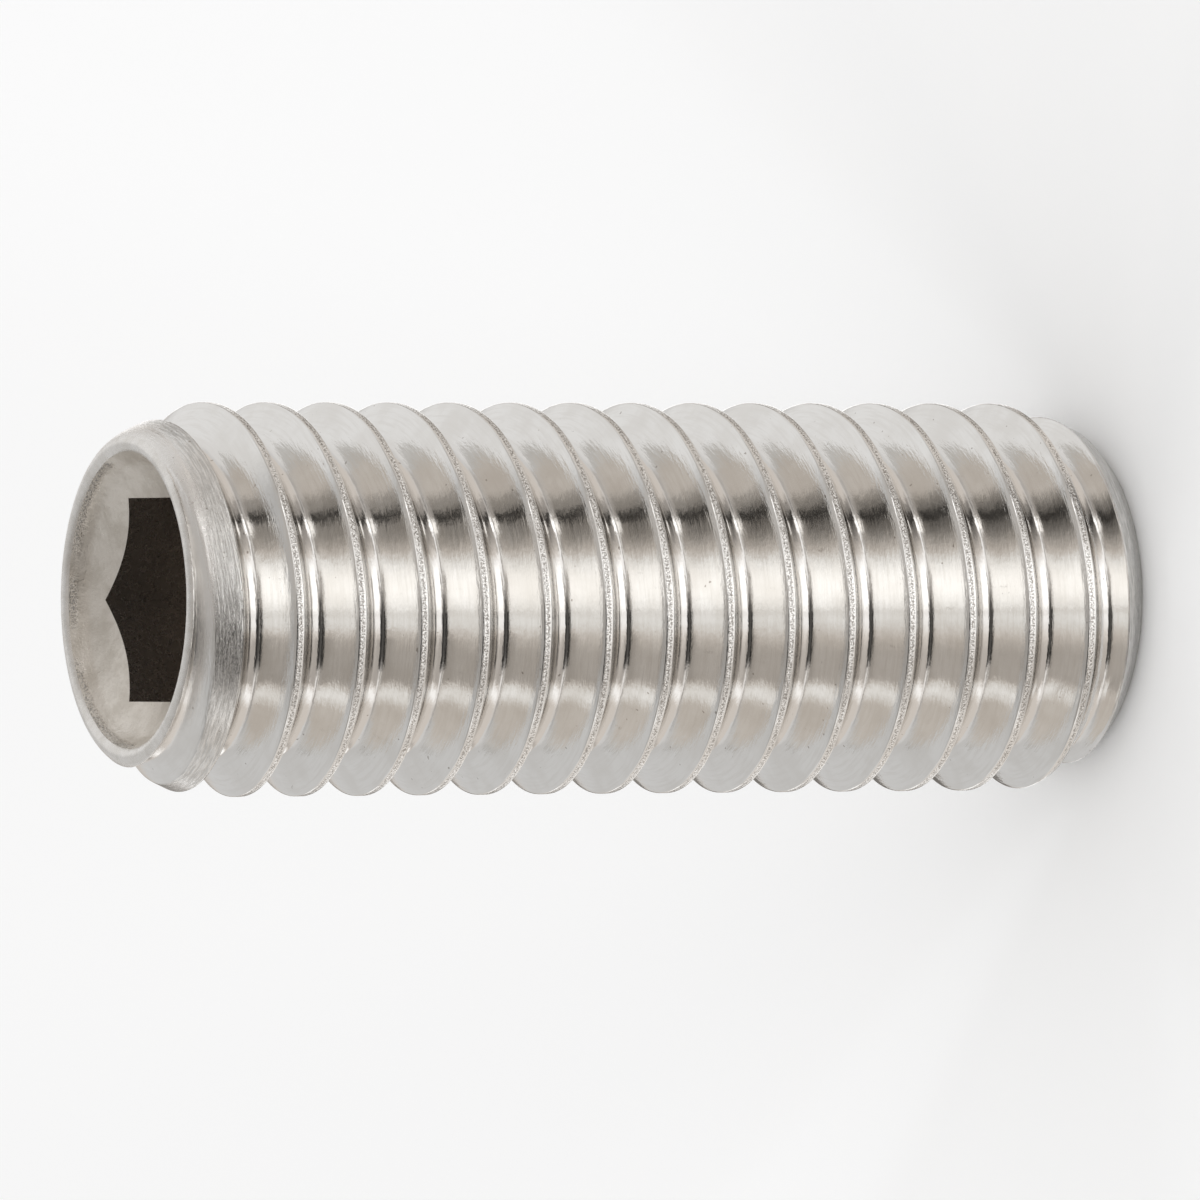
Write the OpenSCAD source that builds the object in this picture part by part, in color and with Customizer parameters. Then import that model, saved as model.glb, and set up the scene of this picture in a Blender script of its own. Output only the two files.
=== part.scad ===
/* [Thread] */
// Nominal diameter of the thread
thread_d = 6; // [5.6:0.1:7]
// Distance from one crest to the next
thread_pitch = 1; // [0.7:0.05:1.2]
// Amount by which the crests stay under the nominal diameter
crest_allowance = 0.15; // [0.02:0.01:0.2]
// Angle about the axis where a crest meets the socket end, from +X towards +Y
thread_start = 105; // [0:5:355]

/* [Ends] */
// Length from the flat point to the rim of the socket
screw_len = 15.7; // [8:0.05:25]
// Diameter of the flat point, measured to the sharp corner that its edge round takes off
point_d = 4.66; // [3.6:0.02:5]
// Angle of the point's chamfer from the axis
point_angle = 45; // [35:1:60]
// Height of the point's chamfer
point_chamfer = 0.25; // [0.1:0.01:0.5]
// Diameter of the socket end, measured to the sharp corner that its edge round takes off
end_d = 4.9; // [4.8:0.02:5.3]
// Angle from the axis of the taper that the thread runs out on, the same at both ends
taper_angle = 24; // [18:1:40]
// Radius of the round on both ends' outer edges
edge_round = 0.1; // [0.04:0.01:0.14]
// Width of the rim that the first root leaves whole
rim_land = 0.08; // [0.04:0.01:0.3]

/* [Socket] */
// Width of the key across its flats
key_w = 3; // [2.4:0.05:3.2]
// Clearance between the key and the hexagon's flats, on both sides together
key_clearance = 0.02; // [0:0.01:0.06]
// Depth of the hexagon's flats below the rim
socket_depth = 4; // [2:0.1:6]
// Full angle of the cone below the hexagon
floor_angle = 120; // [100:5:150]
// Width of the flat ledge between that cone and the hexagon's flats
floor_ledge = 0.1; // [0.05:0.01:0.3]
// Diameter at which the countersink would meet the end plane
countersink_d = 5.08; // [4.9:0.02:5.2]
// Full angle of the countersink
countersink_angle = 120; // [110:2:130]
// Diameter of the circle where the lip is highest
lip_d = 4.64; // [4.56:0.02:4.7]
// Radius of the lip's round towards the socket
lip_round = 0.15; // [0.1:0.01:0.2]

/* [Hidden] */
// Steps in one turn of the thread
turn_steps = 36;
// Flat stretches in the round root of the thread
root_steps = 3;
// Flat stretches in a rounded edge
edge_steps = 4;
// Facets of a full circle in the preview
round_steps = 96;
// Angle of a flank from the plane across the axis, as on every metric thread
flank_angle = 30;
// Part of a turn by which the threaded rod is longer than the screw
spare_turn = 0.25;
// Room that a cutting shape keeps beyond the surface it cuts
over = 0.5;
crest_r = (thread_d - crest_allowance) / 2;
crest_w = thread_pitch / 8;
sharp_h = thread_pitch / 2 / tan(flank_angle);
root_round = sharp_h / 6;
root_r = crest_r - (sharp_h - crest_w / 2 / tan(flank_angle) - root_round);
outer_r = crest_r + over;
point_r = point_d / 2;
end_r = end_d / 2;
lip_r = lip_d / 2;
countersink_r = countersink_d / 2;
hex_r = (key_w + key_clearance) / 2 / cos(30);
turns_below = ceil(screw_len / thread_pitch + spare_turn) + 1;

// Points [along the axis, radius] of one crest and the root above it
function pitch_profile() = concat(
    [[-crest_w / 2, crest_r], [crest_w / 2, crest_r]],
    [for (i = [0 : root_steps])
        let (a = (90 - flank_angle) * (2 * i / root_steps - 1))
        [thread_pitch / 2 + root_round * sin(a), root_r + root_round * (1 - cos(a))]]
);

// Points of an arc about a centre, from one angle to another
function arc(centre, r, from, to) =
    [for (i = [0 : edge_steps])
        let (a = from + (to - from) * i / edge_steps)
        centre + r * [cos(a), sin(a)]];

// Distance along an end plane from its corner with a chamfer to the start of the corner's round
function round_back(r, chamfer_angle) = r * tan((90 - chamfer_angle) / 2);

// Threaded rod, a little longer than the screw at both ends
module threaded_rod() {
    profile = pitch_profile();
    n = len(profile);
    steps = ceil((turns_below + spare_turn) * turn_steps);
    rows = [for (j = [0 : steps + turn_steps]) j / turn_steps - turns_below];
    points = [for (turn = rows, p = profile)
        let (a = thread_start + 360 * turn, z = screw_len + thread_pitch * turn + p[0])
        [p[1] * cos(a), p[1] * sin(a), z]];
    low = len(points);
    high = low + 1;
    top = steps * n;
    axis_points = [[0, 0, points[0][2]], [0, 0, points[top][2]]];
    // The last point of a row joins the first point of the row one turn above
    side = [for (j = [0 : steps - 1], k = [0 : n - 1])
        let (a = j * n + k, b = k < n - 1 ? a + 1 : (j + turn_steps) * n)
        [a, b, b + n, a + n]];
    low_fan = [for (j = [0 : turn_steps - 1]) [low, j * n, (j + 1) * n]];
    low_seam = [for (k = [0 : n - 1]) [low, k < n - 1 ? k + 1 : turn_steps * n, k]];
    high_fan = [for (j = [0 : turn_steps - 1]) [high, top + (j + 1) * n, top + j * n]];
    high_seam = [for (k = [0 : n - 1])
        [high, top + k, top + (k < n - 1 ? k + 1 : turn_steps * n)]];
    polyhedron(
        points = concat(points, axis_points),
        faces = concat(side, low_fan, low_seam, high_fan, high_seam),
        convexity = 10
    );
}

// Cone that keeps the rim whole where the first root would cut it
module rim_cone() {
    land_r = end_r + rim_land * tan(taper_angle);
    low_r = root_r - over;
    h = land_r - low_r + rim_land + over;
    translate([0, 0, screw_len + over - h])
        cylinder(h = h, r1 = low_r, r2 = low_r + h, $fn = round_steps);
}

// Blank with a taper and a rounded edge at each end, clear of the thread in between
module blank() {
    chamfer_r = point_r + point_chamfer * tan(point_angle);
    point_rise = point_chamfer + (outer_r - chamfer_r) / tan(taper_angle);
    end_drop = (outer_r - end_r) / tan(taper_angle);
    point_centre = [point_r - round_back(edge_round, point_angle), edge_round];
    end_centre = [end_r - round_back(edge_round, taper_angle), screw_len - edge_round];
    rotate_extrude($fn = round_steps) polygon(concat(
        [[0, 0]],
        arc(point_centre, edge_round, -90, -point_angle),
        [[chamfer_r, point_chamfer], [outer_r, point_rise], [outer_r, screw_len - end_drop]],
        arc(end_centre, edge_round, taper_angle, 90),
        [[0, screw_len]]
    ));
}

// Countersink at the mouth, under a lip that is rounded towards the socket
module countersink() {
    half = countersink_angle / 2;
    inner_r = lip_r - lip_round;
    // Depth of the lip's centre below the cone, along the cone's normal
    sunk = (lip_r + lip_round * tan(half) - countersink_r) * cos(half);
    lip_end = min(180, 180 - half + acos(max(-1, min(1, sunk / lip_round))));
    rotate_extrude($fn = round_steps) polygon(concat(
        [[0, screw_len + over], [lip_r, screw_len + over]],
        arc([lip_r, screw_len - lip_round], lip_round, 90, lip_end),
        [for (r = [inner_r, 0]) [r, screw_len - (countersink_r - r) / tan(half)]]
    ));
}

// Hexagon for the key, with a drilled cone below it
module socket() {
    cone_r = (key_w + key_clearance) / 2 - floor_ledge;
    cone_h = cone_r / tan(floor_angle / 2);
    translate([0, 0, screw_len - socket_depth]) {
        rotate([0, 0, 90])
            cylinder(h = socket_depth + over, r = hex_r, $fn = 6);
        rotate_extrude($fn = round_steps)
            polygon([[0, -cone_h], [cone_r, 0], [cone_r, over], [0, over]]);
    }
}

module grub_screw() {
    color("silver") difference() {
        intersection() {
            union() {
                threaded_rod();
                rim_cone();
            }
            blank();
        }
        countersink();
        socket();
    }
}

grub_screw();
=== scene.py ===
import math

import bpy
import numpy as np
from mathutils import Matrix, Vector


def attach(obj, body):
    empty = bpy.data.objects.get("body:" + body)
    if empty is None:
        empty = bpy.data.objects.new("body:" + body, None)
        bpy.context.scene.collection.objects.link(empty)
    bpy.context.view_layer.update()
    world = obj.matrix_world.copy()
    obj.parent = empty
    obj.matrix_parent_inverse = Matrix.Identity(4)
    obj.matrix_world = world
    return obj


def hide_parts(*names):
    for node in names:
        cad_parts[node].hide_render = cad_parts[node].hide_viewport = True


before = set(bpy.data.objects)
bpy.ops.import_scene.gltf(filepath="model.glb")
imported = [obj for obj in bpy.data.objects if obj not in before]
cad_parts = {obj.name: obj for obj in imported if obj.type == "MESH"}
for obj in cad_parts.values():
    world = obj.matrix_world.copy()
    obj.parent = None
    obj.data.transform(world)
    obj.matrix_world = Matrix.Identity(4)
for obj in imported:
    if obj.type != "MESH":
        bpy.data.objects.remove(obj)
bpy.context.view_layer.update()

mm = 0.001

# All lengths below are in millimetres. The screw stands on its flat point at z = 0, with the socket up.
screwShape = {
    "length": 15.7,        # flat point to the rim of the socket
    "pitch": 1.0,          # crest to crest
    "crestRadius": 2.925,
    "crestFlat": 0.125,    # width of the flat crest
    "crestEdge": 0.02,     # how far the crest's edges are rolled over
    "rootRadius": 2.345,   # bottom of the groove
    "rootBowl": 0.35,      # radius of its shallow bowl, across the thread
    "rootBlend": 0.09,     # softness of its two corners
    "flankAngle": 30.0,    # from the plane across the axis
    "crestAt": 105.0,      # where a crest meets the socket end, degrees from +X
    "cutBlend": 0.035,     # softness of the line where a chamfer cuts the thread
    "cutFade": 0.03,       # how soon the chamfer's look takes over past that line
    "columns": 144,        # mesh columns in a full turn
    "across": 28,          # mesh points from one crest to the next
    "trySteps": 601,       # steps across the thread with which its bends are found
    "bendReach": 15,       # how many of those steps a bend is spread over
    "bendPull": 0.9,       # how much closer the mesh points lie at a bend
}

endShape = {
    "endRadius": 2.45,     # the socket end's taper, at the end plane
    "endAngle": 24.0,      # both ends' taper, from the axis
    "lipRadius": 2.32,     # circle where the rim is highest
    "beadLength": 0.3,     # how far down the taper the rim's rolled edge reaches
    "creaseDepth": 0.005,  # faint line under it
    "creaseWidth": 0.02,
    "rimLand": 0.06,       # height of chamfer that the first groove leaves whole
    "helixTop": 0.05,      # depth below the rim where the helix ends and plain rings begin
    "satinDepth": 0.1,     # how gradually the rim's satin look ends under the rolled edge
    "pointRadius": 2.33,   # the point's chamfer, at the flat face
    "pointAngle": 45.0,
    "pointChamfer": 0.25,  # its height, below the taper that the thread runs out on
    "pointEdge": 0.1,      # round of the point's edge
}

socketShape = {
    "halfWidth": 1.51,     # from the axis to a flat of the hexagon
    "depth": 4.0,          # of the flats, below the rim
    "lipRound": 0.15,      # inner edge of the rim
    "lipSteep": 54.0,      # steepest slope inside the lip, from the end plane
    "lipCrease": 0.3,      # radius of the soft crease under it
    "coneRadius": 2.54,    # where the countersink's cone would meet the end plane
    "coneAngle": 60.0,     # half the cone's angle
    "floorRadius": 1.41,   # drilled cone below the flats
    "floorAngle": 60.0,    # half its angle
}

finishes = ["thread", "rim", "countersink", "socket", "point"]  # in the order of the mesh's materials


def smoothMin(a, b, k):
    # the smaller of two heights, with the corner between them blended over k
    h = np.maximum(k - np.abs(a - b), 0)
    return np.minimum(a, b) - h * h / (4 * k)


def smoothMax(a, b, k):
    return -smoothMin(-a, -b, k)


def threadRadius(u, s):
    # u: distance from the crest's middle along the axis. Radius = the larger of a straight flank and the
    # root's bowl, rootRadius + gap^2 / (2 rootBowl), but no more than the flat crest. The corners are soft
    slope = 1 / math.tan(math.radians(s["flankAngle"]))
    flank = s["crestRadius"] - (np.abs(u) - s["crestFlat"] / 2) * slope
    gap = s["pitch"] / 2 - np.abs(u)
    r = smoothMax(flank, s["rootRadius"] + gap ** 2 / (2 * s["rootBowl"]), s["rootBlend"])
    return smoothMin(r, np.full_like(r, s["crestRadius"]), s["crestEdge"])


def beadFall(e):
    # height of the rim's rolled edge
    return e["beadLength"] * math.cos(math.radians(e["endAngle"]))


def beadPoint(q, s, e):
    # the rim's rolled edge, a parabola from the lip (q = 0) to the taper (q = 1) that touches both:
    # q^2 taper + 2 q (1 - q) corner + (1 - q)^2 lip
    taperRadius = e["endRadius"] + e["beadLength"] * math.sin(math.radians(e["endAngle"]))
    radius = q ** 2 * taperRadius + 2 * q * (1 - q) * e["endRadius"] + (1 - q) ** 2 * e["lipRadius"]
    return radius, s["length"] - q ** 2 * beadFall(e)


def beadStart(e):
    # q on the rolled edge where the helix ends
    return math.sqrt(e["helixTop"] / beadFall(e))


def pointEdgeArc(e):
    # the point's edge round: its centre, and the circle where it meets the chamfer, as radius and height
    angle = math.radians(e["pointAngle"])
    back = e["pointEdge"] * math.tan((math.pi / 2 - angle) / 2)
    centre = (e["pointRadius"] - back, e["pointEdge"])
    meets = (centre[0] + e["pointEdge"] * math.cos(angle), centre[1] - e["pointEdge"] * math.sin(angle))
    return centre, meets


def cutRadius(z, s, e):
    # radius that the two end chamfers leave at height z
    depth, fall = s["length"] - z, beadFall(e)
    top = e["endRadius"] + depth * math.tan(math.radians(e["endAngle"]))
    bead = beadPoint(np.sqrt(np.clip(depth / fall, 0, 1)), s, e)[0]
    crease = e["creaseDepth"] * np.exp(-((depth - fall) / e["creaseWidth"]) ** 2)
    top = np.where(depth < fall, bead, top) - crease
    low = e["pointRadius"] + z * math.tan(math.radians(e["pointAngle"]))
    brink = e["pointRadius"] + e["pointChamfer"] * math.tan(math.radians(e["pointAngle"]))
    taper = brink + (z - e["pointChamfer"]) * math.tan(math.radians(e["endAngle"]))
    return np.minimum(top, np.where(z < e["pointChamfer"], low, taper))


def uncutRadius(u, z, s, e):
    # the thread, and a 45 degree cone under the rim, so that the first groove never cuts it
    land = cutRadius(s["length"] - e["rimLand"], s, e)
    return np.maximum(threadRadius(u, s), land - (s["length"] - e["rimLand"] - z))


def screwRadius(u, z, s, e):
    return smoothMin(uncutRadius(u, z, s, e), cutRadius(z, s, e), s["cutBlend"])


def spreadPoints(turn, s, e):
    # distance of each row's points from the crest's middle. They lie closer where the surface bends more:
    # density = 1 + bendPull * root of the curvature, and the points divide its running sum evenly
    fine = np.linspace(-s["pitch"] / 2, s["pitch"] / 2, s["trySteps"])
    z = s["length"] + s["pitch"] * turn[:, None] + fine[None, :]
    r = screwRadius(np.broadcast_to(fine, z.shape), z, s, e)
    bend = np.abs(np.gradient(np.arctan(np.gradient(r, fine, axis=1)), fine, axis=1))
    kernel = np.hanning(s["bendReach"]) / np.hanning(s["bendReach"]).sum()
    bend = np.apply_along_axis(lambda row: np.convolve(row, kernel, mode="same"), 1, bend)
    density = 1 + s["bendPull"] * np.sqrt(bend)
    share = np.cumsum((density[:, 1:] + density[:, :-1]) / 2, axis=1)
    share = np.concatenate([np.zeros((len(turn), 1)), share], axis=1) / share[:, -1:]
    wanted = np.linspace(0, 1, s["across"] + 1)
    rowStart = np.arange(len(turn))[:, None] * 2.0  # keeps the rows apart, so that one lookup does them all
    u = np.interp((rowStart + wanted).ravel(), (rowStart + share).ravel(), np.tile(fine, len(turn)))
    return u.reshape(len(turn), -1)


def ringAngles(s):
    return math.radians(s["crestAt"]) + 2 * math.pi * np.arange(s["columns"]) / s["columns"]


def ringPoints(radius, height, s):
    circle = ringAngles(s)
    radius, height = (np.broadcast_to(np.asarray(a, float), circle.shape) for a in (radius, height))
    return np.stack([radius * np.cos(circle), radius * np.sin(circle), height], axis=1)


def addPoints(skin, points, crestDistance, chamfer, rim):
    # returns the new points' numbers
    first = sum(len(block) for block in skin["points"])
    skin["points"].append(points)
    for key, value in (("crestDistance", crestDistance), ("chamfer", chamfer), ("rim", rim)):
        skin[key].append(np.broadcast_to(np.asarray(value, float), (len(points),)))
    return first + np.arange(len(points))


def addFaces(skin, corners, uv, finish):
    skin["corners"].append(corners)
    skin["uv"].append(uv)
    skin["finish"].append(np.full(len(corners), finishes.index(finish)))


def gridQuads(grid):
    # the four corners of each cell of a grid, in order round the cell
    return np.stack([grid[:-1, :-1], grid[1:, :-1], grid[1:, 1:], grid[:-1, 1:]], axis=2)


def addHelix(skin, s, e):
    # grid of row (an angle, all the way up the thread) and distance across it -> point
    turnsDown = math.ceil(s["length"] / s["pitch"]) + 1
    rows = np.arange(-turnsDown * s["columns"], s["columns"] + 1)
    turn = rows / s["columns"]
    angle = math.radians(s["crestAt"]) + 2 * math.pi * turn
    u = spreadPoints(turn, s, e)
    z = s["length"] + s["pitch"] * turn[:, None] + u
    r = screwRadius(u, z, s, e)
    points = np.stack([r * np.cos(angle)[:, None], r * np.sin(angle)[:, None], z], axis=2)
    isCut = np.clip((uncutRadius(u, z, s, e) - cutRadius(z, s, e)) / s["cutFade"], 0, 1)
    onRim = np.clip((beadFall(e) + e["satinDepth"] - (s["length"] - z)) / e["satinDepth"], 0, 1)
    values = [a[:, :-1].ravel() for a in (np.abs(u), isCut, onRim)]
    ids = addPoints(skin, points[:, :-1].reshape(-1, 3), *values).reshape(len(rows), -1)

    # the last point of a row is the first point of the row one turn further on
    nextTurn = np.minimum(np.arange(len(rows)) + s["columns"], len(rows) - 1)
    ids = np.concatenate([ids, ids[nextTurn, :1]], axis=1)
    # what lies past an end is drawn in to that end's circle
    top, low = beadPoint(beadStart(e), s, e), pointEdgeArc(e)[1]
    topIds = addPoints(skin, ringPoints(*top, s), s["pitch"] / 2, 1, 1)
    lowIds = addPoints(skin, ringPoints(*low, s), s["pitch"] / 2, 1, 0)
    columnOf = np.mod(rows, s["columns"])
    ids = np.where(z >= top[1], topIds[columnOf][:, None], ids)
    ids = np.where(z <= low[1], lowIds[columnOf][:, None], ids)

    # UV in millimetres: round the screw, and along the thread's profile
    run = np.cumsum(np.hypot(np.diff(u), np.diff(r)), axis=1)
    run = np.concatenate([np.zeros((len(rows), 1)), run], axis=1)
    uv = np.stack([np.broadcast_to((angle * s["crestRadius"])[:, None], ids.shape), run], axis=2)
    addFaces(skin, gridQuads(ids).reshape(-1, 4), gridQuads(uv).reshape(-1, 4, 2), "thread")
    return topIds, lowIds


def addBand(skin, lower, upper, lowerRun, upperRun, finish, upward, s):
    # quads from one ring of points to the next
    around = np.append(ringAngles(s), ringAngles(s)[0] + 2 * math.pi) * s["crestRadius"]
    corners = np.stack([lower, np.roll(lower, -1), np.roll(upper, -1), upper], axis=1)
    runs = np.stack([lowerRun, np.roll(lowerRun, -1), np.roll(upperRun, -1), upperRun], axis=1)
    uv = np.stack([np.stack([around[:-1], around[1:], around[1:], around[:-1]], axis=1), runs], axis=2)
    if not upward:
        corners, uv = corners[:, ::-1], uv[:, ::-1]
    addFaces(skin, corners, uv, finish)


def addRings(skin, ids, start, rings, middle, upward, s):
    # carries a ring of points in to the axis, ring by ring. Each is (radius at every column, height, finish)
    radius, height = start
    run = np.zeros(s["columns"])
    for nextRadius, nextHeight, finish in rings:
        nextIds = addPoints(skin, ringPoints(nextRadius, nextHeight, s), s["pitch"] / 2, 1, upward)
        nextRun = run + np.hypot(nextRadius - radius, nextHeight - height)
        addBand(skin, ids, nextIds, run, nextRun, finish, upward, s)
        ids, radius, height, run = nextIds, nextRadius, nextHeight, nextRun
    centre = addPoints(skin, np.array([[0.0, 0.0, middle]]), s["pitch"] / 2, 1, upward)
    addBand(skin, ids, np.repeat(centre, s["columns"]), run, run + radius, rings[-1][2], upward, s)


def socketRings(s, e, k):
    # rolled edge, lip, crease, countersink, hexagon and drilled floor, then the height of the floor's middle
    half, steep, slope = (math.radians(a) for a in (k["coneAngle"], k["lipSteep"], 90 - k["coneAngle"]))
    rings = [(*beadPoint(q, s, e), "rim") for q in np.linspace(beadStart(e), 0, 10)[1:]]
    for a in np.linspace(0, steep, 9)[1:]:
        rings.append((e["lipRadius"] - k["lipRound"] * math.sin(a),
                      s["length"] - k["lipRound"] * (1 - math.cos(a)), "rim"))

    # the slope runs on to where the crease, a circle that touches both it and the cone, begins
    lipR, lipZ = rings[-1][:2]
    gap = (k["coneRadius"] - lipR) / math.tan(half) - (s["length"] - lipZ)
    corner = gap / (math.tan(steep) - math.tan(slope))
    back = k["lipCrease"] * math.tan((steep - slope) / 2)
    startR = lipR - corner + back * math.cos(steep)
    startZ = lipZ - corner * math.tan(steep) + back * math.sin(steep)
    for a in np.linspace(steep, slope, 6):
        rings.append((startR - k["lipCrease"] * (math.sin(steep) - math.sin(a)),
                      startZ - k["lipCrease"] * (math.cos(a) - math.cos(steep)), "countersink"))

    # from the circle to the hexagon, whose radius is halfWidth / cos(angle from the nearest flat's middle)
    lipInner = rings[-1][0]
    fromFlat = np.mod(ringAngles(s) + math.radians(30), math.radians(60)) - math.radians(30)
    hexRadius = k["halfWidth"] / np.cos(fromFlat)
    for share in (0.2, 0.4, 0.6, 0.8, 0.93, 1.0):
        radius = lipInner + (hexRadius - lipInner) * share
        rings.append((radius, s["length"] - (k["coneRadius"] - radius) / math.tan(half), "countersink"))
    mouth, floorZ = rings[-1][1], s["length"] - k["depth"]
    for share in (0.04, 0.12, 0.3, 0.6, 1.0):
        rings.append((hexRadius, mouth + (floorZ - mouth) * share, "socket"))
    floorFall = k["floorRadius"] / math.tan(math.radians(k["floorAngle"]))
    for share in (0.0, 0.4, 0.8):
        rings.append((k["floorRadius"] * (1 - share), floorZ - floorFall * share, "socket"))
    return rings, floorZ - floorFall


def pointRings(e):
    # edge round and flat face
    centreR, centreZ = pointEdgeArc(e)[0]
    edge = e["pointEdge"]
    angles = np.radians(np.linspace(-e["pointAngle"], -90, 7))[1:]
    rings = [(centreR + edge * math.cos(a), centreZ + edge * math.sin(a), "point") for a in angles]
    return rings + [(radius, 0.0, "point") for radius in (2.0, 1.5, 1.0, 0.5, 0.2)]


def buildScrew(s, e, k):
    skin = {key: [] for key in ("points", "crestDistance", "chamfer", "rim", "corners", "uv", "finish")}
    topIds, lowIds = addHelix(skin, s, e)
    rings, middle = socketRings(s, e, k)
    addRings(skin, topIds, beadPoint(beadStart(e), s, e), rings, middle, True, s)
    addRings(skin, lowIds, pointEdgeArc(e)[1], pointRings(e), 0.0, False, s)
    skin = {key: np.concatenate(blocks) for key, blocks in skin.items()}

    # two triangles for each quad, without those that were drawn in to a line
    corners, uv = skin["corners"], skin["uv"]
    tris = np.concatenate([corners[:, [0, 1, 2]], corners[:, [0, 2, 3]]])
    triUv = np.concatenate([uv[:, [0, 1, 2]], uv[:, [0, 2, 3]]])
    triFinish = np.tile(skin["finish"], 2)
    solid = (tris[:, 0] != tris[:, 1]) & (tris[:, 1] != tris[:, 2]) & (tris[:, 2] != tris[:, 0])
    used, tris = np.unique(tris[solid], return_inverse=True)
    values = {name: skin[name][used] for name in ("crestDistance", "chamfer", "rim")}
    return skin["points"][used], tris.reshape(-1, 3), triUv[solid], triFinish[solid], values


def makeMesh(name, points, tris, triUv, triFinish, values):
    mesh = bpy.data.meshes.new(name)
    mesh.from_pydata((points * mm).tolist(), [], tris.tolist())
    layer = mesh.uv_layers.new(name="threadRun")
    layer.data.foreach_set("uv", triUv.reshape(-1).astype(np.float32))
    for key, value in values.items():
        attribute = mesh.attributes.new(name=key, type="FLOAT", domain="POINT")
        attribute.data.foreach_set("value", value.astype(np.float32))
    mesh.polygons.foreach_set("use_smooth", np.ones(len(tris), bool))
    mesh.polygons.foreach_set("material_index", triFinish.astype(np.int32))
    mesh.update()
    mesh.set_sharp_from_angle(angle=math.radians(40))
    return mesh


mesh = makeMesh("grubScrew", *buildScrew(screwShape, endShape, socketShape))
screw = bpy.data.objects.new("grubScrew", mesh)
bpy.context.scene.collection.objects.link(screw)
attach(screw, "root")
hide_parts("grub_screw")
print("screw mesh:", len(mesh.vertices), "points,", len(mesh.polygons), "triangles")


def addNode(tree, kind, links=None, **settings):
    # a node with its settings, and its inputs given as values or as another node's output
    node = tree.nodes.new(kind)
    for key, value in settings.items():
        setattr(node, key, value)
    for key, value in (links or {}).items():
        if isinstance(value, bpy.types.NodeSocket):
            tree.links.new(value, node.inputs[key])
        else:
            node.inputs[key].default_value = value
    return node


def combine(tree, a, b, operation="ADD"):
    return addNode(tree, "ShaderNodeMath", {0: a, 1: b}, operation=operation).outputs[0]


def ramp(tree, value, fromLow, fromHigh, toLow, toHigh):
    links = {"Value": value, "From Min": fromLow, "From Max": fromHigh, "To Min": toLow, "To Max": toHigh}
    return addNode(tree, "ShaderNodeMapRange", links, interpolation_type="SMOOTHSTEP").outputs["Result"]


def noise(tree, vector, scale, detail, rough):
    links = {"Vector": vector, "Scale": scale, "Detail": detail, "Roughness": rough}
    return addNode(tree, "ShaderNodeTexNoise", links).outputs["Fac"]


def runNoise(tree, run, along, across, detail, rough):
    # noise on the thread's own UV, with a scale along the thread and one across it
    scaled = addNode(tree, "ShaderNodeVectorMath", {0: run, 1: (along, across, 1.0)}, operation="MULTIPLY")
    return noise(tree, scaled.outputs[0], 1.0, detail, rough)


def attributeValue(tree, name):
    return addNode(tree, "ShaderNodeAttribute", attribute_name=name).outputs["Fac"]


def placeInMm(tree):
    place = addNode(tree, "ShaderNodeTexCoord").outputs["Object"]
    return addNode(tree, "ShaderNodeVectorMath", {0: place, "Scale": 1 / mm}, operation="SCALE").outputs[0]


def mixColour(tree, share, first, second):
    node = addNode(tree, "ShaderNodeMix", data_type="RGBA")
    for socket, value in ((node.inputs[0], share), (node.inputs[6], first), (node.inputs[7], second)):
        if isinstance(value, bpy.types.NodeSocket):
            tree.links.new(value, socket)
        else:
            socket.default_value = (*value, 1)
    return node.outputs[2]


def steelMaterial(name, colour):
    material = bpy.data.materials.new(name)
    material.use_nodes = True
    shader = material.node_tree.nodes["Principled BSDF"]
    shader.inputs["Base Color"].default_value = (*colour, 1)
    shader.inputs["Metallic"].default_value = 1
    return material, material.node_tree


def finishSteel(tree, colour, rough, height):
    # links the colour and roughness, and a height in metres as the bump
    shader = tree.nodes["Principled BSDF"]
    bump = addNode(tree, "ShaderNodeBump", {"Strength": 1.0, "Distance": 1.0, "Height": height})
    tree.links.new(colour, shader.inputs["Base Color"])
    tree.links.new(rough, shader.inputs["Roughness"])
    tree.links.new(bump.outputs[0], shader.inputs["Normal"])


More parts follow.
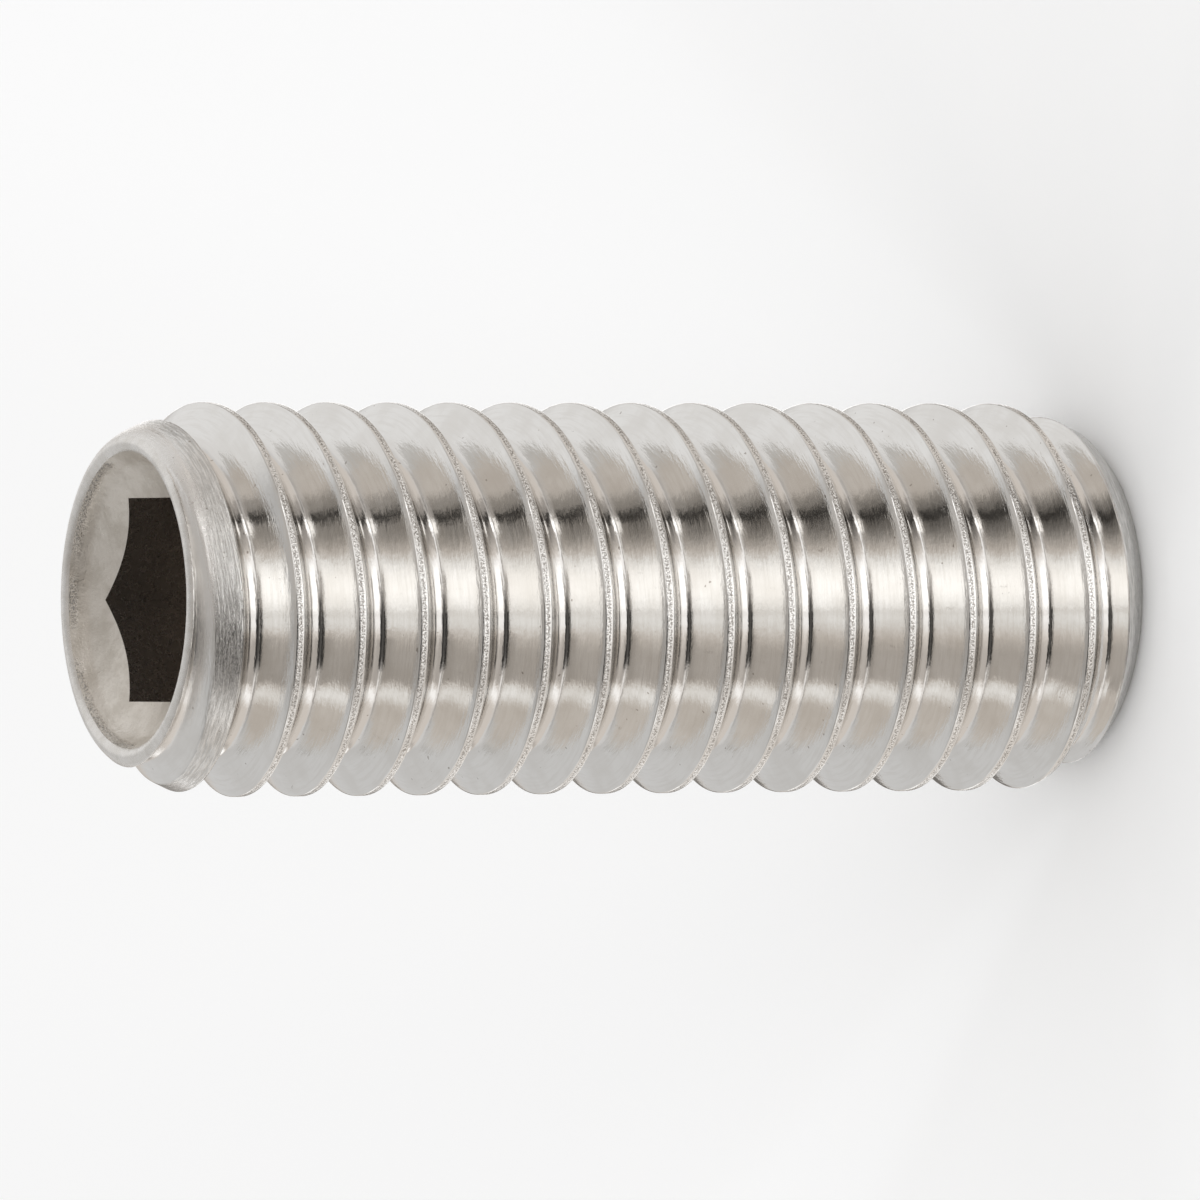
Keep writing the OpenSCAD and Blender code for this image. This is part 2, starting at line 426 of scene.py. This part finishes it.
# Rolled thread: polished flanks with fine lines round the screw, a rough crest whose specks are painted
# glints and painted shade, painted shade towards the groove's root, worn chamfers
threadLook = {
    "clean": (0.778, 0.768, 0.75),
    "stained": (0.70, 0.682, 0.655),
    "speck": (0.30, 0.27, 0.24),
    # crest and crestShade: colours of the crest's specks, a painted glint and a painted shade
    "crest": (0.92, 0.91, 0.89),
    "crestShade": (0.38, 0.36, 0.335),
    "chamferDark": (0.52, 0.51, 0.49),
    # root: painted shade, the colour towards the groove's root
    "root": (0.71, 0.69, 0.665),
    "rim": (0.77, 0.75, 0.725),
    "roughness": (0.03, 0.085),
    "wornRoughness": 0.13,
    "rimRoughness": 0.3,
    "crestHalfWidth": 0.036,   # mm from the crest's middle
    "crestFade": (0.012, 0.038),  # how far past that the band starts to fade and is gone
    "crestRagged": 0.05,       # how far its edge wanders
    "rootShadeFrom": (0.30, 0.43),  # mm from the crest's middle, over which the painted shade towards the groove's root comes in
    # noises on the thread: scale along and across it, per mm, then detail and roughness
    "lines": (1.3, 17.0, 4.0, 0.6),
    "waves": (1.3, 4.0, 2.0, 0.5),
    "ticks": (6.5, 21.0, 3.0, 0.6),  # short marks that make the edges of a reflection spiky
    "burr": (28.0, 46.0, 4.0, 0.75),
    "rub": (2.5, 30.0, 4.0, 0.65),
    # noises in space: scale per mm, then detail and roughness
    "sparkle": (38.0, 2.0, 0.7),
    "grain": (14.0, 4.0, 0.65),
    "patches": (1.3, 3.0, 0.55),
    "pits": (11.0, 1.0, 0.5),
    # where a noise shows: its value from and to, and the share there from and to
    "stainShare": (0.4, 0.68, 0.0, 0.75),
    "streakShare": (0.42, 0.66, 0.0, 0.6),
    "sparkleShare": (0.4, 0.58, 0.0, 1.0),
    "rubShare": (0.42, 0.6, 0.8, 0.0),
    "pitShare": (0.765, 0.8, 0.0, 0.7),
    # bump, in mm
    "lineHeight": 0.003,
    "waveHeight": 0.0025,
    "tickHeight": 0.0028,
    "burrHeight": 0.012,
    "rubHeight": 0.015,
    "rubOffRim": 0.6,          # how much of it the rim lacks
    "foldDepth": 0.008,        # fold along the middle of the rolled crest
    "foldHalfWidth": 0.05,
}


def threadMaterial(p):
    material, tree = steelMaterial("rolledThread", p["clean"])
    run = addNode(tree, "ShaderNodeUVMap", uv_map="threadRun").outputs[0]
    place = placeInMm(tree)
    crestDistance, chamfer, rim = (attributeValue(tree, name) for name in ("crestDistance", "chamfer", "rim"))
    lines, waves, ticks, burr, rub = (runNoise(tree, run, *p[name]) for name in
                                      ("lines", "waves", "ticks", "burr", "rub"))
    sparkle, grain, patches, pits = (noise(tree, place, *p[name]) for name in
                                     ("sparkle", "grain", "patches", "pits"))
    offChamfer = combine(tree, 1.0, chamfer, "SUBTRACT")

    # the crest's band, with a ragged edge
    edge = combine(tree, crestDistance, combine(tree, burr, p["crestRagged"], "MULTIPLY"))
    fadeFrom, fadeTo = (p["crestHalfWidth"] + past for past in p["crestFade"])
    onCrest = ramp(tree, edge, fadeFrom, fadeTo, 1.0, 0.0)
    onCrest = combine(tree, onCrest, offChamfer, "MULTIPLY")
    worn = combine(tree, onCrest, chamfer, "MAXIMUM")

    colour = mixColour(tree, ramp(tree, patches, *p["stainShare"]), p["clean"], p["stained"])
    offWorn = combine(tree, 1.0, worn, "SUBTRACT")
    streak = combine(tree, ramp(tree, lines, *p["streakShare"]), offWorn, "MULTIPLY")
    colour = mixColour(tree, streak, colour, p["stained"])
    # painted shade: darker and browner towards the groove's root
    rootShadeShare = combine(tree, ramp(tree, crestDistance, *p["rootShadeFrom"], 0.0, 1.0), offChamfer, "MULTIPLY")
    colour = mixColour(tree, rootShadeShare, colour, p["root"])
    # the crest's specks: painted glints and painted shade in the colour
    crestGlintAndShade = mixColour(tree, ramp(tree, sparkle, *p["sparkleShare"]), p["crestShade"], p["crest"])
    colour = mixColour(tree, onCrest, colour, crestGlintAndShade)
    rubbed = combine(tree, chamfer, ramp(tree, rub, *p["rubShare"]), "MULTIPLY")
    colour = mixColour(tree, rubbed, colour, p["chamferDark"])
    colour = mixColour(tree, rim, colour, p["rim"])
    colour = mixColour(tree, ramp(tree, pits, *p["pitShare"]), colour, p["speck"])

    polished = ramp(tree, lines, 0.3, 0.7, *p["roughness"])
    coarse = ramp(tree, grain, 0.35, 0.65, p["wornRoughness"] - 0.06, p["wornRoughness"] + 0.1)
    rougher = combine(tree, combine(tree, coarse, polished, "SUBTRACT"), worn, "MULTIPLY")
    rough = combine(tree, polished, rougher)
    onRim = combine(tree, rim, p["rimRoughness"] - p["wornRoughness"], "MULTIPLY")
    rough = combine(tree, rough, onRim)

    height = combine(tree, lines, p["lineHeight"] * mm, "MULTIPLY")
    height = combine(tree, height, combine(tree, waves, p["waveHeight"] * mm, "MULTIPLY"))
    height = combine(tree, height, combine(tree, ticks, p["tickHeight"] * mm, "MULTIPLY"))
    crestGrain = combine(tree, combine(tree, burr, onCrest, "MULTIPLY"), p["burrHeight"] * mm, "MULTIPLY")
    fold = ramp(tree, crestDistance, 0.0, p["foldHalfWidth"], -p["foldDepth"] * mm, 0.0)
    crestGrain = combine(tree, crestGrain, combine(tree, fold, onCrest, "MULTIPLY"))
    onChamfer = combine(tree, chamfer, combine(tree, rim, p["rubOffRim"], "MULTIPLY"), "SUBTRACT")
    chamferGrain = combine(tree, combine(tree, rub, onChamfer, "MULTIPLY"), p["rubHeight"] * mm, "MULTIPLY")
    height = combine(tree, height, combine(tree, crestGrain, chamferGrain))
    finishSteel(tree, colour, rough, height)
    return material


# Satin finishes. Grain and patches are noises in space: scale per mm, then detail and roughness
grainSpan = (0.3, 0.7)               # the grain's values over which the roughness goes from least to most
patchShare = (0.38, 0.66, 0.0, 1.0)  # the patches' values from and to, and the dark colour's share there

rimLook = {
    "colour": (0.77, 0.75, 0.725),
    "dark": (0.68, 0.655, 0.62),
    "roughness": (0.23, 0.37),
    "grain": (13.0, 4.0, 0.65),
    "grainHeight": 0.007,  # mm
    "patches": (3.0, 4.0, 0.65),
}

socketLook = {
    "colour": (0.60, 0.56, 0.52),
    "dark": (0.58, 0.54, 0.50),
    "roughness": (0.26, 0.28),
    "grain": (9.0, 4.0, 0.65),
    "grainHeight": 0.0,
    "patches": (1.6, 4.0, 0.65),
}

pointLook = {
    "colour": (0.73, 0.72, 0.69),
    "dark": (0.66, 0.64, 0.61),
    "roughness": (0.23, 0.37),
    "grain": (12.0, 4.0, 0.65),
    "grainHeight": 0.004,
    "patches": (1.6, 4.0, 0.65),
}


def satinMaterial(name, p):
    material, tree = steelMaterial(name, p["colour"])
    place = placeInMm(tree)
    grain, patches = (noise(tree, place, *p[key]) for key in ("grain", "patches"))
    colour = mixColour(tree, ramp(tree, patches, *patchShare), p["colour"], p["dark"])
    rough = ramp(tree, grain, *grainSpan, *p["roughness"])
    finishSteel(tree, colour, rough, combine(tree, grain, p["grainHeight"] * mm, "MULTIPLY"))
    return material


# Countersink: satin and a little brown, with scraped marks under the lip
dishLook = {
    "colour": (0.70, 0.657, 0.60),
    "dark": (0.585, 0.543, 0.485),
    "mark": (0.30, 0.29, 0.28),
    "roughness": (0.27, 0.41),
    "scrapedRoughness": 0.13,
    "scrapeFrom": (2.1, 2.17),      # mm from the axis, over which the marks begin
    "grain": (16.0, 4.0, 0.65),
    "fineMarks": (30.0, 3.0, 0.6),
    "patches": (2.4, 4.0, 0.65),
    "scrapes": (1.1, 1.0, 0.5),
    "scrapeShare": (0.46, 0.56, 0.0, 1.0),
    "markShare": (0.5, 0.6, 0.0, 0.8),
    "grainHeight": 0.013,           # mm
    "scrapeHeight": 0.03,
}


def dishMaterial(p):
    material, tree = steelMaterial("countersinkSteel", p["colour"])
    place = placeInMm(tree)
    flat = addNode(tree, "ShaderNodeVectorMath", {0: place, 1: (1.0, 1.0, 0.0)}, operation="MULTIPLY")
    out = addNode(tree, "ShaderNodeVectorMath", {0: flat.outputs[0]}, operation="LENGTH").outputs["Value"]
    grain, fineMarks, patches, scrapes = (noise(tree, place, *p[name]) for name in
                                          ("grain", "fineMarks", "patches", "scrapes"))
    underLip = ramp(tree, out, *p["scrapeFrom"], 0.0, 1.0)
    scraped = combine(tree, underLip, ramp(tree, scrapes, *p["scrapeShare"]), "MULTIPLY")
    colour = mixColour(tree, ramp(tree, patches, *patchShare), p["colour"], p["dark"])
    darkMarks = combine(tree, scraped, ramp(tree, fineMarks, *p["markShare"]), "MULTIPLY")
    colour = mixColour(tree, darkMarks, colour, p["mark"])
    rough = ramp(tree, grain, *grainSpan, *p["roughness"])
    smoother = combine(tree, combine(tree, rough, p["scrapedRoughness"], "SUBTRACT"), scraped, "MULTIPLY")
    rough = combine(tree, rough, smoother, "SUBTRACT")
    height = combine(tree, grain, p["grainHeight"] * mm, "MULTIPLY")
    marks = combine(tree, combine(tree, fineMarks, scraped, "MULTIPLY"), p["scrapeHeight"] * mm, "MULTIPLY")
    finishSteel(tree, colour, rough, combine(tree, height, marks))
    return material


mesh.materials.append(threadMaterial(threadLook))
mesh.materials.append(satinMaterial("rimSteel", rimLook))
mesh.materials.append(dishMaterial(dishLook))
mesh.materials.append(satinMaterial("socketSteel", socketLook))
mesh.materials.append(satinMaterial("pointSteel", pointLook))
print("materials:", len(mesh.materials))

# The camera, placed by the fit to the photograph
cameraPlace = {
    "aheadAngle": 0.4401,  # radians between the view and the plane across the screw's axis
    "rise": 0.0267,
    "roll": 0.0091,
    "turnAboutAxis": math.radians(1.7),
    "middleHeight": 7.86,  # mm, the point of the axis that it aims at
    "distance": 254.18,    # mm
    "pixelsPerMm": 66.81,  # at that distance
    "centreX": 604.08,     # where that point lies in the picture, in pixels
    "centreY": 598.23,
    "imageWidth": 1200,
    "sensorWidth": 36,     # mm
}


def placeCamera(c):
    ahead, rise, roll = c["aheadAngle"], c["rise"], c["roll"]
    back = Vector((math.sin(rise), -math.cos(ahead) * math.cos(rise), math.sin(ahead) * math.cos(rise)))
    right = Vector((0, -math.sin(ahead), -math.cos(ahead)))
    up = Vector((math.cos(rise), math.cos(ahead) * math.sin(rise), -math.sin(ahead) * math.sin(rise)))
    rolledRight = right * math.cos(roll) + up * math.sin(roll)
    rolledUp = up * math.cos(roll) - right * math.sin(roll)
    place = (Vector((0, 0, c["middleHeight"])) + back * c["distance"]) * mm
    pose = Matrix([rolledRight, rolledUp, back]).transposed().to_4x4()
    pose.translation = place
    data = bpy.data.cameras.new("photoCamera")
    camera = bpy.data.objects.new("photoCamera", data)
    bpy.context.scene.collection.objects.link(camera)
    camera.matrix_world = Matrix.Rotation(-c["turnAboutAxis"], 4, "Z") @ pose
    data.sensor_width = c["sensorWidth"]
    data.lens = c["sensorWidth"] * c["distance"] * c["pixelsPerMm"] / c["imageWidth"]
    data.shift_x = (c["imageWidth"] / 2 - c["centreX"]) / c["imageWidth"]
    data.shift_y = (c["centreY"] - c["imageWidth"] / 2) / c["imageWidth"]
    data.clip_start, data.clip_end = 0.01, 10
    bpy.context.scene.camera = camera


placeCamera(cameraPlace)
print("camera placed")

# What the polished steel shows: the white, grey and black cards of a light tent. Only reflections see it
tentShape = {
    "eye": 8.0,              # mm above the floor, where the directions below are measured
    "radius": 150.0,         # mm
    "inner": 3.2,            # radius where the cards on the floor begin
    "clearance": 0.03,       # height of those cards above the floor
    "highest": 89,           # degrees, where the dome's cap begins
    "columns": 360,
    "rows": 110,
    "grooveRadius": 2.6,     # where the thread's flanks reflect
    "floorSteepness": 2.4,   # how soon the floor counts as seen from above
    "clearTint": (1.0, 0.995, 0.99),
    "warmTint": (0.0, 0.06, 0.117),  # taken from it where a card is dim
    "warmBelow": 1.2,        # brightness below which the cards turn warm
    "warmOver": 0.35,        # and how soon they do
    "warmDome": 0.65,        # how warm the dome's cards get, against the floor's
    "neutralFrom": 100,      # azimuth from which the dome isn't warm at all
    "base": 0.56,
    # azimuth from, to and softness, elevation from, to and softness, in degrees, then brightness.
    # Azimuth 0 is the camera's side (-Y), 90 is +X
    "cards": [
        (-105, -26, 20, 32, 80, 14, 0.42),
        (105, 181, 25, 0, 60, 20, 0.9),
        (-181, -118, 20, -20, 60, 20, 0.68),
        (72, 128, 10, -180, 20, 14, 0.8),
        (-130, -78, 10, -180, 20, 14, 0.82),
        (44, 76, 10, -180, -10, 8, 0.42),
        (-66, -20, 14, -180, -14, 6, 0.63),
        (-28, 10, 34, -180, -12, 6, 1.3),
        (0, 32, 22, -180, -12, 6, 1.3),
        (-5, 21, 20, -180, -12, 6, 1.8),
        (-13.5, -10, 2.5, -180, -20, 6, 1.08),
        (-66, -27, 12, -46, -12, 20, 0.53),
        (4, 54, 12, 10, 30, 6, 1.2),
        (-84, -56, 8, 8, 26, 6, 1.05),
        (16, 30, 5, -12, 12, 6, 1.3),
        (47, 70, 15, -180, -50, 26, 0.2),
        (56, 64, 4, -180, -10, 6, 0.05),
        (45, 55, 3, -12, 31, 4, 1.8),
        (60, 74, 4, 22, 31, 4, 0.3),
        (-54, -2, 14, 12, 42, 5, 0.1),
        (-52, -10, 8, -12, 14, 4, 0.04),
        (-82, -66, 6, -125, 5, 22, 1.1),
        (-77, -71, 4, -125, 5, 22, 1.3),
        (136, 148, 8, -180, -14, 6, 0.2),
        (156, 176, 10, -180, -14, 6, 1.5),
        (-172, -160, 8, -180, -14, 6, 0.2),
        (-152, -138, 8, -180, -14, 6, 1.4),
    ],
}


def softWindow(x, low, high, soft):
    # 1 between low and high, 0 outside, with a smooth step of width soft across each limit
    w = np.clip((x - low) / soft + 0.5, 0, 1) * np.clip((high - x) / soft + 0.5, 0, 1)
    return w * w * (3 - 2 * w)


def cardGlow(az, el, onFloor, t):
    # brightness of the cards in each direction, laid over one another, then their colour
    glow = np.full(az.shape, t["base"])
    for fromAz, toAz, softAz, fromEl, toEl, softEl, bright in t["cards"]:
        share = softWindow(az, fromAz, toAz, softAz) * softWindow(el, fromEl, toEl, softEl)
        glow = glow + (bright - glow) * share
    warmth = np.where(onFloor, 1.0, np.where(np.abs(az) > t["neutralFrom"], 0.0, t["warmDome"]))
    glow = np.append(glow.ravel(), t["base"])
    warm = np.clip((t["warmBelow"] - glow) / t["warmOver"], 0, 1) * np.append(warmth.ravel(), t["warmDome"])
    tint = np.array(t["clearTint"]) - warm[:, None] * np.array(t["warmTint"])
    return np.concatenate([glow[:, None] * tint, np.ones((len(glow), 1))], axis=1)


def buildTent(t):
    # azimuth and elevation -> point. What lies below the eye's horizon is flat on the floor
    azimuth = np.arange(t["columns"]) * 360 / t["columns"] - 180
    lowest = -math.degrees(math.atan(t["eye"] / t["inner"]))
    az, el = np.meshgrid(azimuth, np.linspace(lowest, t["highest"], t["rows"]))
    reach = t["eye"] / np.tan(np.radians(np.maximum(-el, 0.01)))
    onFloor = (el < 0) & (reach < t["radius"])
    out = np.where(onFloor, reach, t["radius"] * np.cos(np.radians(el)))
    domeUp = np.maximum(t["eye"] + t["radius"] * np.sin(np.radians(el)), t["clearance"])
    up = np.where(onFloor, t["clearance"], domeUp)
    points = np.stack([out * np.sin(np.radians(az)), -out * np.cos(np.radians(az)), up], axis=2)
    points = np.concatenate([points.reshape(-1, 3), [[0, 0, t["eye"] + t["radius"]]]])

    # A flank near the floor throws its light close by. Each card is therefore drawn where a reflection in its
    # direction lands: sin(direction - azimuth) = grooveRadius / distance * sin(direction / 2)
    toward = np.radians(az)
    for _ in range(12):
        lean = np.clip(t["grooveRadius"] / out * np.sin(toward / 2), -1, 1)
        toward = np.where(onFloor, np.radians(az) + np.arcsin(lean), toward)
    seenEl = np.where(onFloor, el * t["floorSteepness"], el)
    colour = cardGlow(np.degrees(toward), seenEl, onFloor, t)

    ids = np.arange(az.size).reshape(az.shape)
    side = np.roll(ids, -1, axis=1)
    quads = np.stack([ids[:-1], ids[1:], side[1:], side[:-1]], axis=2).reshape(-1, 4)
    cap = np.stack([ids[-1], np.full(t["columns"], az.size), side[-1]], axis=1)
    return points, quads.tolist() + cap.tolist(), colour


def addStage(name, points, faces, material):
    stageMesh = bpy.data.meshes.new(name)
    stageMesh.from_pydata((np.asarray(points, float) * mm).tolist(), [], faces)
    stageMesh.materials.append(material)
    thing = bpy.data.objects.new(name, stageMesh)
    bpy.context.scene.collection.objects.link(thing)
    return thing


def cardMaterial():
    glowing = bpy.data.materials.new("tentCards")
    glowing.use_nodes = True
    tree = glowing.node_tree
    tree.nodes.remove(tree.nodes["Principled BSDF"])
    glow = addNode(tree, "ShaderNodeAttribute", attribute_name="glow").outputs["Color"]
    emission = addNode(tree, "ShaderNodeEmission", {"Color": glow, "Strength": 1.0})
    tree.links.new(emission.outputs[0], tree.nodes["Material Output"].inputs["Surface"])
    glowing.cycles.emission_sampling = "NONE"
    return glowing


points, faces, colour = buildTent(tentShape)
tent = addStage("lightTent", points, faces, cardMaterial())
attribute = tent.data.attributes.new(name="glow", type="FLOAT_COLOR", domain="POINT")
attribute.data.foreach_set("color", colour.astype(np.float32).ravel())
tent.visible_camera = tent.visible_diffuse = tent.visible_shadow = tent.visible_transmission = False
print("light tent:", len(points), "points,", len(tentShape["cards"]), "cards")

# Pale floor under an even white sky
studioLook = {
    "skyStrength": 1.0,
    "floorColour": (0.95, 0.95, 0.95),
    "floorRoughness": 0.9,
    "floorHalfSide": 1500,  # mm
}


def buildStudio(p):
    world = bpy.data.worlds.new("studio")
    world.use_nodes = True
    world.node_tree.nodes["Background"].inputs["Color"].default_value = (1, 1, 1, 1)
    world.node_tree.nodes["Background"].inputs["Strength"].default_value = p["skyStrength"]
    bpy.context.scene.world = world
    pale = bpy.data.materials.new("paleFloor")
    pale.use_nodes = True
    pale.node_tree.nodes["Principled BSDF"].inputs["Base Color"].default_value = (*p["floorColour"], 1)
    pale.node_tree.nodes["Principled BSDF"].inputs["Roughness"].default_value = p["floorRoughness"]
    side = p["floorHalfSide"]
    addStage("floor", [(-side, -side, 0), (side, -side, 0), (side, side, 0), (-side, side, 0)],
             [(0, 1, 2, 3)], pale)


buildStudio(studioLook)
bpy.context.scene.view_settings.view_transform = "Standard"
print("floor and sky done")
